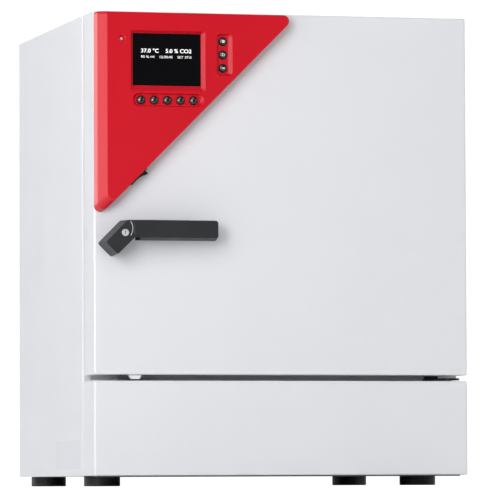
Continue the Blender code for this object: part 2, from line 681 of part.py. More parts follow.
def door_hinges(axis):
    hinge_block(axis, "upper_hinge_block", TOP - NOTCH_DEPTH - HINGE_BLOCK, TOP - NOTCH_DEPTH - FIT, 0.0001)
    low = DOOR_BOTTOM + SHEET + CORNER_FIT
    hinge_block(axis, "lower_hinge_block", low, low + HINGE_BLOCK - FIT, 0.0001)
    high = TOP - 0.0006
    profile = [(PIN_RADIUS, TOP - 0.0002), (PIN_RADIUS, TOP - NOTCH_DEPTH - HINGE_BLOCK + 0.003)]
    hinge_bracket("upper_hinge_bracket", high - BRACKET_PLATE, high, high - BRACKET_LEG, high - 0.001, profile)
    low = COVER_TOP + 0.0018
    collar_low = low + BRACKET_PLATE - 0.0005
    collar_high = DOOR_BOTTOM - FIT
    profile = [(PIN_RADIUS, low - 0.0005), (PIN_RADIUS, collar_low), (0.0075, collar_low), (0.0075, collar_high),
               (PIN_RADIUS, collar_high), (PIN_RADIUS, DOOR_BOTTOM + HINGE_BLOCK)]
    hinge_bracket("lower_hinge_bracket", low, low + BRACKET_PLATE, low + 0.001, low + BRACKET_LEG, profile)


def door_glide(axis):
    # a white shoe under the door that runs up a black wedge on the lower cover
    x0 = -HALF + GLIDE_SIDE
    high = DOOR_BOTTOM - FIT
    low = COVER_TOP + 0.0021
    y0, y1 = FRONT + 0.006, FRONT + 0.024
    shoe = [(x0, high), (x0 + 0.004, low), (x0 + 0.017, low), (x0 + 0.021, high)]
    add("door_glide", prism(shoe, "Y", y0, y1), WHITE_PLASTIC, 0.4, parent=axis, smooth=False)
    base = COVER_TOP + FIT
    wedge = [(x0 - 0.012, base), (x0 + 0.006, base), (x0 + 0.022, base), (x0 + 0.022, base + 0.0015),
             (x0 + 0.002, base + 0.0015), (x0 - 0.002, high - 0.001), (x0 - 0.012, high - 0.001)]
    add("glide_ramp", prism(wedge, "Y", y0 - 0.004, y1 + 0.003), BLACK_PLASTIC, 0.5, smooth=False)


# Handle: pairs are measured to the right of the door's left edge and down from its top
def door_point(side, down):
    return (side - HALF, PANEL_TOP - down)


def handle_base(axis):
    side, down = HANDLE_TOE
    run = HANDLE_TOE_WIDTH / math.sqrt(2)
    low = LEVER_TOP + LEVER_HEIGHT
    corners = [door_point(side, down), door_point(side + run, down + run),
               door_point(side + run + (down + run - low), low), door_point(PIVOT_SIDE, LEVER_TOP),
               door_point(side + down - LEVER_TOP, LEVER_TOP)]
    radii = [0.003, 0.004, 0.001, 0.0005, 0.002]
    bevel = 0.0015
    flare = [-HANDLE_FLARE, -0.001, 0.0, -0.001, -HANDLE_FLARE]
    skirt = rounded(inset(corners, flare), radii)
    outline = rounded(corners, radii)
    crown = rounded(inset(corners, bevel), radii)
    solid = loft([place(skirt, "Y", FRONT - FIT), place(outline, "Y", FRONT - HANDLE_PROUD + bevel),
                  place(crown, "Y", FRONT - HANDLE_PROUD)])
    base = add("handle_base", solid, BLACK_PLASTIC, 0.4, parent=axis)
    x, y, z = HANDLE_PIVOT
    inner = LEVER_HEIGHT / 2 - EAR
    cut(base, prism(circle(BARREL_RADIUS + 0.0006, (x, y), 28), "Z", z - inner, z + inner))
    for low in (z - LEVER_HEIGHT / 2 + 0.00005, z + inner):
        join(base, prism(circle(BARREL_RADIUS, (x, y), 28), "Z", low, low + EAR - 0.00005))
    cut(base, prism(hole(HANDLE_PIN_RADIUS, (x, y), 12), "Z", z - 0.02, z + 0.02))
    lock = door_point(*LOCK_PLACE)
    cut(base, prism(hole(LOCK_RADIUS, lock, 20, FIT), "Y", FRONT - HANDLE_PROUD - 0.01,
                    FRONT - HANDLE_PROUD + LOCK_LENGTH + FIT))


def handle_lever(axis):
    x, y, z = HANDLE_PIVOT
    half = LEVER_HEIGHT / 2
    front = FRONT - HANDLE_PROUD
    rear = front + LEVER_THICKNESS
    face = [(x, z - half), (LEVER_END - HALF, z - half), (LEVER_END - HALF, z + half), (x, z + half)]
    radii = [0.0005, 0.004, 0.004, 0.0005]
    deep = rounded(inset(face, [-LEVER_SLOPE, -0.001, -0.001, 0.0]), radii)
    brow = rounded(inset(face, [-0.001, 0.0, 0.0, 0.0]), radii)
    crown = rounded(inset(face, [0.0012, 0.0012, 0.0012, 0.0]), radii)
    arm = loft([place(deep, "Y", rear), place(deep, "Y", rear - 0.004), place(brow, "Y", front + 0.0015),
                place(crown, "Y", front)])
    lever = add("handle_lever", arm, BLACK_PLASTIC, 0.4, parent=axis)
    inner = half - EAR - FIT
    for low, high in ((z - 0.03, z - inner), (z + inner, z + 0.03)):
        cut(lever, prism(circle(BARREL_RADIUS + 0.0006, (x, y), 28), "Z", low, high))
    join(lever, prism(circle(BARREL_RADIUS, (x, y), 28), "Z", z - inner + 0.0001, z + inner - 0.0001))
    cut(lever, prism(hole(HANDLE_PIN_RADIUS, (x, y), 12), "Z", z - 0.02, z + 0.02))


def handle(door):
    handle_base(door)
    x, y, z = HANDLE_PIVOT
    reach = LEVER_HEIGHT / 2 - 0.0006
    pin = turned([(HANDLE_PIN_RADIUS, z - reach), (HANDLE_PIN_RADIUS, z + reach)], "Z", (x, y), 12)
    add("handle_pin", pin, STAINLESS, 0.3, 1.0, parent=door)
    handle_lever(axis_empty("handle_axis", HANDLE_PIVOT, door))
    front = FRONT - HANDLE_PROUD
    spot = door_point(*LOCK_PLACE)
    lock_axis = axis_empty("lock_axis", (spot[0], front, spot[1]), door)
    profile = [(LOCK_RADIUS - 0.0006, front - LOCK_PROUD), (LOCK_RADIUS, front - 0.0004),
               (LOCK_RADIUS, front + LOCK_LENGTH)]
    lock = add("lock_cylinder", turned(profile, "Y", spot, 20), LOCK_STEEL, 0.2, 1.0, parent=lock_axis)
    x, z = spot
    cut(lock, block(x - 0.0006, x + 0.0006, front - 0.01, front + 0.004, z - 0.0028, z + 0.0028))


def latch(door):
    x, z = TONGUE
    slide = axis_empty("latch_slide", (x, DOOR_REAR, z), door)
    nose = [(x, DOOR_REAR + 0.002), (x + 0.002, DOOR_REAR + FIT), (x + 0.016, DOOR_REAR + FIT),
            (x + 0.016, DOOR_REAR + 0.004), (x + 0.0015, DOOR_REAR + 0.004)]
    solid = prism(nose, "Z", z - 0.005, z + 0.005)
    tongue = add("latch_tongue", solid, STAINLESS, 0.3, 1.0, parent=slide, smooth=False)
    join(tongue, block(x + 0.0045, x + 0.0135, DOOR_REAR - 0.016, DOOR_REAR + 0.002, z - 0.004, z + 0.004))
    rear = BODY_FRONT - FIT
    keeper = add("latch_keeper", block(x - 0.003, x + 0.018, rear - 0.0025, rear, z - 0.012, z + 0.012),
                 STAINLESS, 0.3, 1.0, smooth=False)
    for low in (z - 0.0085, z + 0.0053):
        join(keeper, block(x, x + 0.015, rear - 0.0115, rear - 0.001, low, low + 0.0032))


# Control panel
def panel_corners(left, slope, top):
    corners = [(-HALF, PANEL_TOP), (-HALF, PANEL_TOP - PANEL_LEG), (PANEL_LEG - HALF, PANEL_TOP)]
    return inset(corners, [left, slope, top])


def tapered(low_corners, high_corners, radius, low, high):
    return loft([place(rounded(low_corners, radius, 4), "Y", FRONT - low),
                 place(rounded(high_corners, radius + 0.001, 4), "Y", FRONT - high)])


def recess(centre, size, margins, radius, depth):
    # margins widen the recess on its left, lower, right and upper side where it meets the face
    left, lower, right, upper = margins
    bottom = rectangle(*size, centre)
    brim = inset(bottom, [-lower * 1.1, -right * 1.1, -upper * 1.1, -left * 1.1])
    return tapered(bottom, brim, radius, PANEL_PROUD - depth, PANEL_PROUD + 0.1 * depth)


def panel_housing(door):
    wall = PANEL_WALL
    outside = [(FIT, 0.0, 0.0, 0.0), (0.012, 0.003, 0.0005, 0.0003), (0.0195, 0.0130, 0.001, 0.0006),
               (0.0212, 0.0150, 0.0012, 0.0008), (PANEL_PROUD, 0.016, 0.0022, 0.0016)]
    inside = [(FIT, wall, wall, wall), (0.010, 0.006, wall + 0.0006, wall + 0.0004),
              (PANEL_PROUD - PANEL_FACE, 0.011, wall + 0.001, wall + 0.0008)]
    loops = [place(rounded(panel_corners(*sides), [0.004, PANEL_TIP, PANEL_TIP], 5), "Y", FRONT - proud)
             for proud, *sides in reversed(outside)]
    inner_radii = [0.002, PANEL_TIP - wall, PANEL_TIP - wall]
    loops += [place(rounded(panel_corners(*sides), inner_radii, 5), "Y", FRONT - proud) for proud, *sides in inside]
    housing = add("panel_housing", loft(loops), PANEL_RED, 0.42, parent=door)
    row_centre = door_point(KEY_ROW[0] + KEY_PITCH * (KEY_COUNT - 1) / 2, KEY_ROW[1])
    row_size = (KEY_PITCH * (KEY_COUNT - 1) + 0.020, 0.017)
    menu_centre = door_point(MENU_COLUMN[0], MENU_COLUMN[1] + MENU_PITCH * (MENU_COUNT - 1) / 2)
    menu_size = (0.0165, MENU_PITCH * (MENU_COUNT - 1) + 0.018)
    wide = (DISPLAY_SIZE[0] + 0.002, DISPLAY_SIZE[1] + 0.002)
    lamp = door_point(*LAMP_PLACE)
    dimple = loft([place(circle(LAMP_RADIUS + 0.001, lamp, 16), "Y", FRONT - PANEL_PROUD + 0.003),
                   place(circle(0.0062, lamp, 16), "Y", FRONT - PANEL_PROUD - 0.0002)])
    screen = recess(door_point(*DISPLAY_PLACE), wide, (0.003, 0.0075, 0.0055, 0.003), 0.002, DISPLAY_DEPTH)
    keys = recess(row_centre, row_size, (0.003, 0.0015, 0.005, 0.0015), 0.0083, KEY_RECESS)
    menu = recess(menu_centre, menu_size, (0.0015, 0.002, 0.006, 0.002), 0.004, KEY_RECESS)
    cut(housing, gather([screen, keys, menu, dimple]))
    deep = FRONT - PANEL_PROUD + PANEL_FACE + 0.002
    shallow = FRONT - PANEL_PROUD + 0.001
    holes = [prism(hole(KEY_RADIUS, spot, 16, FIT), "Y", shallow, deep) for spot in key_spots()]
    holes += [prism(hole(MENU_RADIUS, spot, 16, FIT), "Y", shallow, deep) for spot in menu_spots()]
    holes.append(prism(hole(LAMP_RADIUS, lamp, 12, FIT), "Y", shallow, deep))
    opening = inset(rectangle(*DISPLAY_SIZE, door_point(*DISPLAY_PLACE)), -FIT)
    holes.append(prism(opening, "Y", shallow, deep))
    cut(housing, gather(holes))
    half_length = SWITCH_LENGTH / 2 + FIT
    half_width = SWITCH_WIDTH / 2 + FIT
    cut(housing, on_slope(block(-half_length, half_length, -half_width, half_width, -0.015, 0.01)))


def key_spots():
    return [door_point(KEY_ROW[0] + k * KEY_PITCH, KEY_ROW[1]) for k in range(KEY_COUNT)]


def menu_spots():
    return [door_point(MENU_COLUMN[0], MENU_COLUMN[1] + k * MENU_PITCH) for k in range(MENU_COUNT)]


def key(door, name, spot, radius, crown):
    back = PANEL_PROUD - PANEL_FACE
    top = PANEL_PROUD + 0.0005
    foot_proud = BOARD_PROUD + BOARD + KEY_TRAVEL + FIT
    profile = [(radius * 0.35, top), (radius * 0.72, top - crown * 0.25), (radius * 0.93, top - crown * 0.6),
               (radius, top - crown), (radius, back - FIT), (radius + 0.0012, back - FIT),
               (radius + 0.0012, back - 0.0015), (0.003, back - 0.0015), (0.003, foot_proud)]
    slide = axis_empty(name + "_slide", (spot[0], FRONT - PANEL_PROUD, spot[1]), door)
    solid = turned([(r, FRONT - proud) for r, proud in profile], "Y", spot, 16)
    add(name, solid, BLACK_PLASTIC, 0.15, parent=slide)


def display(door):
    centre = door_point(*DISPLAY_PLACE)
    back = PANEL_PROUD - PANEL_FACE
    window = prism(rectangle(*DISPLAY_SIZE, centre), "Y", FRONT - back, FRONT - back - 0.0027)
    add("display_window", window, (0.004, 0.004, 0.005), 0.08, parent=door, smooth=False)
    board_face = BOARD_PROUD + BOARD
    module = prism(rectangle(DISPLAY_SIZE[0] + 0.006, DISPLAY_SIZE[1] + 0.006, centre), "Y",
                   FRONT - back + FIT, FRONT - board_face - FIT)
    add("display_module", module, (0.20, 0.21, 0.22), 0.4, 0.8, parent=door, smooth=False)
    corners = [(30, 15), (30, 148), (145, 148), (212, 86), (212, 15)]
    outline = [door_point(side * UNIT, down * UNIT) for side, down in corners]
    board = add("controller_board", prism(outline, "Y", FRONT - BOARD_PROUD, FRONT - board_face),
                CIRCUIT_GREEN, 0.5, parent=door, smooth=False)
    for side, down in ((36, 142), (36, 21), (206, 21)):
        post = circle(0.003, door_point(side * UNIT, down * UNIT), 10)
        join(board, prism(post, "Y", FRONT - FIT, FRONT - BOARD_PROUD - 0.0005))
    spot = door_point(*LAMP_PLACE)
    profile = [(LAMP_RADIUS * 0.5, PANEL_PROUD - 0.0028), (LAMP_RADIUS, PANEL_PROUD - 0.0038),
               (LAMP_RADIUS, board_face + FIT)]
    lamp = turned([(r, FRONT - proud) for r, proud in profile], "Y", spot, 12)
    add("status_lamp", lamp, (0.10, 0.11, 0.10), 0.2, parent=door)


# Main switch on the sloping side of the panel, built flat and then laid on the slope
def slope_matrix():
    middle = Vector((-HALF, FRONT - SWITCH_PROUD, PANEL_TOP - PANEL_LEG)) + SLOPE * SWITCH_PLACE
    outwards = Vector((SLOPE.z, 0.0, -SLOPE.x))
    turn = Matrix((-SLOPE, Vector((0.0, 1.0, 0.0)), outwards)).transposed().to_4x4()
    return Matrix.Translation(middle) @ turn


def on_slope(solid):
    solid.transform(slope_matrix())
    return solid


def main_switch(door):
    length, width = SWITCH_LENGTH / 2, SWITCH_WIDTH / 2
    casing = tray(span(-length, length, -width, width), 0.0006, 0.0012, "Z", -0.0145, 0.0008)
    add("switch_casing", on_slope(casing), BLACK_PLASTIC, 0.5, parent=door, smooth=False)
    end = SWITCH_ROCKER / 2
    profile = [(-end, 0.0045), (-end + 0.0013, -0.006), (0.0, -0.009), (end - 0.0013, -0.006), (end, 0.0045),
               (end * 0.4, 0.0026), (0.0, 0.0022), (-end * 0.4, 0.0026)]
    rocker = prism(profile, "Y", -width + 0.0012 + FIT, width - 0.0012 - FIT)
    pivot = Vector((0.0, 0.0, SWITCH_PIVOT))
    tilt = Matrix.Rotation(math.radians(SWITCH_TILT), 4, "Y")
    rocker.transform(Matrix.Translation(pivot) @ tilt @ Matrix.Translation(-pivot))
    axis = axis_empty("switch_axis", slope_matrix() @ pivot, door)
    add("switch_rocker", on_slope(rocker), BLACK_PLASTIC, 0.3, parent=axis, smooth=False)


# Rear fittings
def power_inlet():
    x, z = POWER_INLET
    flange = block(x - 0.020, x + 0.020, REAR + FIT, REAR + 0.003, z - 0.014, z + 0.014)
    inlet = add("power_inlet", flange, BLACK_PLASTIC, 0.5, smooth=False)
    join(inlet, block(x - 0.0135, x + 0.0135, REAR - 0.024, REAR + 0.001, z - 0.010, z + 0.010))
    cut(inlet, block(x - 0.0115, x + 0.0115, REAR - 0.016, REAR + 0.01, z - 0.008, z + 0.008))
    for side, rise in ((-0.007, -0.002), (0.0, 0.003), (0.007, -0.002)):
        join(inlet, block(x + side - 0.001, x + side + 0.001, REAR - 0.017, REAR - 0.004,
                          z + rise - 0.002, z + rise + 0.002))


def gas_inlet():
    profile = [(0.008, REAR - 0.012), (0.008, REAR + FIT), (0.012, REAR + FIT), (0.012, REAR + 0.006),
               (0.005, REAR + 0.007), (0.005, REAR + 0.013), (0.0042, REAR + 0.013)]
    for barb in range(3):
        low = REAR + 0.014 + barb * 0.005
        profile += [(0.0052, low), (0.0042, low + 0.005)]
    profile += [(0.0036, REAR + FITTING_PROUD)]
    inlet = add("gas_inlet", turned(profile, "Y", GAS_INLET, 16), (0.72, 0.55, 0.25), 0.3, 1.0)
    cut(inlet, prism(circle(0.002, GAS_INLET, 10), "Y", REAR, REAR + FITTING_PROUD + 0.01))


def outer_door():
    axis = axis_empty("outer_door_axis", PIN)
    door_outer_skin(axis)
    door_inner_panel(axis)
    door_insulation(axis)
    door_gasket(axis)
    door_hinges(axis)
    door_glide(axis)
    handle(axis)
    latch(axis)
    panel_housing(axis)
    display(axis)
    for k, spot in enumerate(key_spots()):
        key(axis, "soft_key_" + str(k + 1), spot, KEY_RADIUS, 0.0035)
    for k, spot in enumerate(menu_spots()):
        key(axis, "menu_key_" + str(k + 1), spot, MENU_RADIUS, 0.0015)
    main_switch(axis)


def build():
    side_panel("left_side_panel", -1)
    side_panel("right_side_panel", 1)
    top_panel()
    rear_panel()
    base_tray()
    service_floor()
    front_frame()
    lower_front_cover()
    feet()
    inner_chamber()
    heating_jacket()
    chamber_insulation()
    chamber_seal()
    for number, level in enumerate(SHELF_LEVELS):
        shelf("shelf_" + str(number + 1), level)
    water_pan()
    climate_sensor()
    glass_door()
    outer_door()
    power_inlet()
    gas_inlet()


build()
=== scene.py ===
import json
import math

import bmesh
import bpy
from mathutils import Matrix, Vector

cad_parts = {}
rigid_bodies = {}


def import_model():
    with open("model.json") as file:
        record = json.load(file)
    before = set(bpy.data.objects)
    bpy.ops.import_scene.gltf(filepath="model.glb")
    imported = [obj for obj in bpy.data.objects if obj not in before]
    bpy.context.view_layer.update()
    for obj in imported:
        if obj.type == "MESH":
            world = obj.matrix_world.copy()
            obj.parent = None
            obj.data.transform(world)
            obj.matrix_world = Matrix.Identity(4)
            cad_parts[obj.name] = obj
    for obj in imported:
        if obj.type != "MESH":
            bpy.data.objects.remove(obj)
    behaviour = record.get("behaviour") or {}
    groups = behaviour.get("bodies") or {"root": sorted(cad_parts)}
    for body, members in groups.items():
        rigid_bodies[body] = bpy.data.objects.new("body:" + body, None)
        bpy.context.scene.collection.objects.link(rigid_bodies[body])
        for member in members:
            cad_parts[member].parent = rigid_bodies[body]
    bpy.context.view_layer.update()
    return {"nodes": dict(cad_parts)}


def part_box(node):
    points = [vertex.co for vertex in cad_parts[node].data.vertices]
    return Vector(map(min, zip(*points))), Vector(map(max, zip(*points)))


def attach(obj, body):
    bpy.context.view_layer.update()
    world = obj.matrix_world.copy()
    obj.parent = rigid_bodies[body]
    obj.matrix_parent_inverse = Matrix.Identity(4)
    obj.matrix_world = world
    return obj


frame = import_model()
nodes = frame["nodes"]
scene = bpy.context.scene
print("model loaded with", len(nodes), "nodes")


# camera: a long lens close to the floor, turned a little to show the left side
cameraView = {
    "place": (-1.7859, -6.9659, 0.004),
    "turn": 0.2536,      # radians from straight ahead, towards the right
    "tilt": 0.0505,
    "roll": -0.0038,
    "lens": 332.1,
    "sensor": 36,
    "near": 0.5,
    "far": 60,
}


def addCamera(view):
    turn, tilt, roll = view["turn"], view["tilt"], view["roll"]
    ahead = Vector((math.sin(turn) * math.cos(tilt), math.cos(turn) * math.cos(tilt), math.sin(tilt)))
    right = Vector((math.cos(turn), -math.sin(turn), 0))
    up = right.cross(ahead)
    across = right * math.cos(roll) + up * math.sin(roll)
    upright = up * math.cos(roll) - right * math.sin(roll)
    facing = Matrix((across, upright, -ahead)).transposed().to_4x4()
    bpy.ops.object.camera_add()
    camera = bpy.context.active_object
    camera.name = "studioCamera"
    camera.matrix_world = Matrix.Translation(view["place"]) @ facing
    camera.data.lens = view["lens"]
    camera.data.sensor_width = view["sensor"]
    camera.data.clip_start = view["near"]
    camera.data.clip_end = view["far"]
    camera.data.dof.use_dof = False
    scene.camera = camera


addCamera(cameraView)
scene.view_settings.view_transform = "Standard"   # plain white stays white, as in a catalogue picture
print("camera set")


# materials: colours are sRGB hex, and grain, tone and depth are real millimetres
surfaceNoise = {
    "detail": 3, "roughness": 0.6, "darkAt": 0.35, "lightAt": 0.65,   # the grain
    "broadDetail": 2, "broadLow": 0.2, "broadHigh": 0.8,              # the slow change of tone
    "strength": 0.5,                                                  # the bump, where a finish gives none
}


def toLinear(colour):
    channels = [int(colour[i:i + 2], 16) / 255 for i in (1, 3, 5)]
    return tuple(c / 12.92 if c <= 0.04045 else ((c + 0.055) / 1.055) ** 2.4 for c in channels) + (1,)


def perMetre(millimetres):
    return 1000 / millimetres


def addNode(tree, kind, settings=None, links=None):
    node = tree.nodes.new(kind)
    for name, value in (settings or {}).items():
        if isinstance(name, str) and name not in node.inputs:
            setattr(node, name, value)
        else:
            node.inputs[name].default_value = value
    for name, source in (links or {}).items():
        tree.links.new(source, node.inputs[name])
    return node


finishes = {}


def newFinish(name, constants):
    finish = bpy.data.materials.new(name)
    finish.use_nodes = True
    tree = finish.node_tree
    shader = tree.nodes["Principled BSDF"]
    for socket, value in constants.items():
        shader.inputs[socket].default_value = value
    coords = addNode(tree, "ShaderNodeTexCoord").outputs["Object"]
    finishes[name] = finish
    return tree, shader, coords


def addSurface(name, spec, constants):
    # a fine grain over a broad, faint change of tone, with the grain also in the bump
    tree, shader, coords = newFinish(name, constants)
    dark, light = toLinear(spec["dark"]), toLinear(spec["light"])
    low, high = spec["rough"]
    stretched = addNode(tree, "ShaderNodeMapping", {"Scale": spec.get("stretch", (1, 1, 1))},
                        {"Vector": coords})
    grain = addNode(tree, "ShaderNodeTexNoise",
                    {"Scale": perMetre(spec["grain"]), "Detail": surfaceNoise["detail"],
                     "Roughness": surfaceNoise["roughness"]},
                    {"Vector": stretched.outputs["Vector"]})
    broad = addNode(tree, "ShaderNodeTexNoise",
                    {"Scale": perMetre(spec["tone"]), "Detail": surfaceNoise["broadDetail"]},
                    {"Vector": coords})
    fine = addNode(tree, "ShaderNodeValToRGB", links={"Fac": grain.outputs["Fac"]})
    fine.color_ramp.elements[0].position = surfaceNoise["darkAt"]
    fine.color_ramp.elements[0].color = dark
    fine.color_ramp.elements[1].position = surfaceNoise["lightAt"]
    fine.color_ramp.elements[1].color = light
    # a Mix node's sockets have numbers: 0 is the factor, 6 and 7 are the colours, output 2 is the result
    mixed = addNode(tree, "ShaderNodeMix", {"data_type": "RGBA", 7: light},
                    {0: broad.outputs["Fac"], 6: fine.outputs["Color"]})
    rough = addNode(tree, "ShaderNodeMapRange",
                    {"From Min": surfaceNoise["broadLow"], "From Max": surfaceNoise["broadHigh"],
                     "To Min": low, "To Max": high},
                    {"Value": broad.outputs["Fac"]})
    bump = addNode(tree, "ShaderNodeBump",
                   {"Strength": spec.get("strength", surfaceNoise["strength"]),
                    "Distance": spec["depth"] / 1000},
                   {"Height": grain.outputs["Fac"]})
    tree.links.new(mixed.outputs[2], shader.inputs["Base Color"])
    tree.links.new(rough.outputs["Result"], shader.inputs["Roughness"])
    tree.links.new(bump.outputs["Normal"], shader.inputs["Normal"])
    return tree, shader, coords


# polyester powder coat on sheet steel: a faint orange peel, about 1.5 mm across, and a soft sheen
addSurface("powderCoatWhite",
           {"dark": "#d3d4d8", "light": "#d9dade", "grain": 1.5, "tone": 90, "rough": (0.36, 0.42),
            "depth": 0.02, "strength": 0.35},
           {"IOR": 1.5})
# the same coat in grey on the base and the floor of the service space
addSurface("powderCoatGrey",
           {"dark": "#3b3d40", "light": "#45474a", "grain": 1.5, "tone": 60, "rough": (0.45, 0.55),
            "depth": 0.03},
           {"IOR": 1.5})
# injection moulded ABS from a spark eroded tool: a fine pebble, drawn 1.1 mm across so that it shows
addSurface("mouldedAbsRed",
           {"dark": "#b60017", "light": "#c5011b", "grain": 1.1, "tone": 160, "rough": (0.27, 0.30),
            "depth": 0.06, "strength": 0.6},
           {"IOR": 1.54, "Specular IOR Level": 0.45})
# glass filled nylon: charcoal rather than black, with a dry fine grain of 0.6 mm; on the keyway leaf the
# black is painted shade
addSurface("mouldedNylonBlack",
           {"dark": "#1a1b1e", "light": "#232428", "grain": 0.6, "tone": 18, "rough": (0.42, 0.52),
            "depth": 0.04, "strength": 0.6},
           {"IOR": 1.53, "Specular IOR Level": 0.35})
# polished ABS key caps: deep black with small sharp highlights
addSurface("polishedAbsBlack",
           {"dark": "#030303", "light": "#070708", "grain": 3, "tone": 30, "rough": (0.16, 0.20),
            "depth": 0.004, "strength": 0.2},
           {"IOR": 1.54, "Specular IOR Level": 0.75})
# brushed stainless sheet: lines run across the width, drawn about 0.7 mm apart
addSurface("brushedStainless",
           {"dark": "#a4a4a2", "light": "#b8b8b6", "grain": 0.7, "tone": 180, "rough": (0.36, 0.41),
            "depth": 0.006, "strength": 0.15, "stretch": (0.02, 1, 1)},
           {"Metallic": 1.0})
# deep drawn and electropolished stainless: smooth, with a slow waviness left by the press
addSurface("drawnStainless",
           {"dark": "#bcbdbd", "light": "#d0d1d1", "grain": 40, "tone": 120, "rough": (0.16, 0.26),
            "depth": 0.5, "strength": 0.25},
           {"Metallic": 1.0})
# zinc plate, clear passivated: bluish grey with small cloudy patches
addSurface("zincPlate",
           {"dark": "#a2a7ab", "light": "#c3c6c6", "grain": 2.5, "tone": 12, "rough": (0.28, 0.42),
            "depth": 0.01},
           {"Metallic": 1.0})
# black electrocoat on the hinge steel: thin and satin
addSurface("electroCoatBlack",
           {"dark": "#151516", "light": "#1e1e20", "grain": 1.0, "tone": 20, "rough": (0.30, 0.40),
            "depth": 0.015},
           {"IOR": 1.5})
# turned brass fitting, slightly dulled by handling
addSurface("turnedBrass",
           {"dark": "#b08d48", "light": "#c9a65a", "grain": 0.5, "tone": 10, "rough": (0.22, 0.36),
            "depth": 0.01, "stretch": (1, 0.1, 1)},
           {"Metallic": 1.0})
# acetal: hard white and a little waxy, light passes into its skin; on the hinge bush the white is a painted
# highlight
addSurface("mouldedAcetalWhite",
           {"dark": "#e6e7e6", "light": "#f1f1ef", "grain": 1.2, "tone": 15, "rough": (0.28, 0.36),
            "depth": 0.015},
           {"IOR": 1.48, "Subsurface Weight": 0.15, "Subsurface Scale": 0.002})
# natural rubber feet: almost black, dusty sheen on the sides
addSurface("mouldedRubberBlack",
           {"dark": "#0e0e0f", "light": "#1a1a1b", "grain": 0.9, "tone": 14, "rough": (0.48, 0.62),
            "depth": 0.04},
           {"IOR": 1.52, "Sheen Weight": 0.15, "Sheen Roughness": 0.4})
# extruded rubber of the door gasket, dark grey, with a fine even grain; the same dark grey on the cover's
# edging is painted shade under the cover
addSurface("extrudedRubberGrey",
           {"dark": "#303135", "light": "#3b3c40", "grain": 0.8, "tone": 30, "rough": (0.55, 0.65),
            "depth": 0.03},
           {"IOR": 1.5, "Sheen Weight": 0.1})
# translucent silicone lip round the chamber mouth
addSurface("siliconeGrey",
           {"dark": "#b4b6b8", "light": "#c3c5c6", "grain": 1.0, "tone": 25, "rough": (0.45, 0.55),
            "depth": 0.02},
           {"IOR": 1.43, "Subsurface Weight": 0.25, "Subsurface Scale": 0.003})
# white ink of the screen's figures and the key marks; its glow of its own is painted light, since the ink is
# no lamp
addSurface("screenInkWhite",
           {"dark": "#e9eaec", "light": "#ffffff", "grain": 0.4, "tone": 3, "rough": (0.5, 0.6),
            "depth": 0.001},
           {"Emission Color": (1, 1, 1, 1), "Emission Strength": 0.35})
# satin anodised aluminium plate
addSurface("anodisedAluminium",
           {"dark": "#cbccce", "light": "#d6d7d9", "grain": 0.5, "tone": 20, "rough": (0.38, 0.46),
            "depth": 0.006, "stretch": (1, 1, 0.05)},
           {"Metallic": 0.6})
# matt polyester film with nothing printed on it
addSurface("polyesterFilm",
           {"dark": "#cccdd2", "light": "#d1d2d7", "grain": 0.8, "tone": 12, "rough": (0.42, 0.50),
            "depth": 0.004},
           {"IOR": 1.57})
# printed circuit board under solder mask
addSurface("solderMaskGreen",
           {"dark": "#123f24", "light": "#1d5a34", "grain": 1.6, "tone": 6, "rough": (0.25, 0.35),
            "depth": 0.05, "stretch": (1, 1, 0.15)},
           {"IOR": 1.5, "Coat Weight": 0.3})
print("plain finishes made")


# open cell foam: pale yellow, with pores drawn 2 mm across
foamPores = {"size": 2, "strength": 0.7, "depth": 0.0004}
tree, shader, coords = addSurface("openCellFoam",
                                  {"dark": "#c9bf98", "light": "#ddd5b0", "grain": 2.0, "tone": 40,
                                   "rough": (0.85, 0.95), "depth": 0.3},
                                  {"Sheen Weight": 0.3})
pores = addNode(tree, "ShaderNodeTexVoronoi", {"Scale": perMetre(foamPores["size"])}, {"Vector": coords})
poreBump = addNode(tree, "ShaderNodeBump",
                   {"Strength": foamPores["strength"], "Distance": foamPores["depth"]},
                   {"Height": pores.outputs["Distance"],
                    "Normal": shader.inputs["Normal"].links[0].from_socket})
tree.links.new(poreBump.outputs["Normal"], shader.inputs["Normal"])

# etched foil heater under polyimide film: amber, with the heater track as bands about 18 mm apart
heaterTrack = {"pitch": 17.765, "strength": 0.6, "depth": 0.0002}
waveBands = 20 / (2 * math.pi)   # how many bands a Wave node draws in one unit at scale 1
tree, shader, coords = addSurface("polyimideHeater",
                                  {"dark": "#8a5a22", "light": "#a8702c", "grain": 3, "tone": 30,
                                   "rough": (0.25, 0.35), "depth": 0.05},
                                  {"Metallic": 0.3, "Coat Weight": 0.5})
track = addNode(tree, "ShaderNodeTexWave",
                {"bands_direction": "Z", "Distortion": 0.0,
                 "Scale": perMetre(heaterTrack["pitch"]) / waveBands},
                {"Vector": coords})
trackBump = addNode(tree, "ShaderNodeBump",
                    {"Strength": heaterTrack["strength"], "Distance": heaterTrack["depth"]},
                    {"Height": track.outputs["Fac"],
                     "Normal": shader.inputs["Normal"].links[0].from_socket})
tree.links.new(trackBump.outputs["Normal"], shader.inputs["Normal"])

# toughened soda lime glass: clear with a slight green, and faint wiping marks in its roughness
glassWipes = {"size": 60, "detail": 3, "low": 0.3, "high": 0.9, "rough": 0.03}
tree, shader, coords = newFinish("toughenedGlass",
                                 {"Base Color": toLinear("#eaf4ef"), "Transmission Weight": 1.0,
                                  "IOR": 1.52})
wipes = addNode(tree, "ShaderNodeTexNoise",
                {"Scale": perMetre(glassWipes["size"]), "Detail": glassWipes["detail"]},
                {"Vector": coords})
smear = addNode(tree, "ShaderNodeMapRange",
                {"From Min": glassWipes["low"], "From Max": glassWipes["high"],
                 "To Min": 0.0, "To Max": glassWipes["rough"]},
                {"Value": wipes.outputs["Fac"]})
tree.links.new(smear.outputs["Result"], shader.inputs["Roughness"])
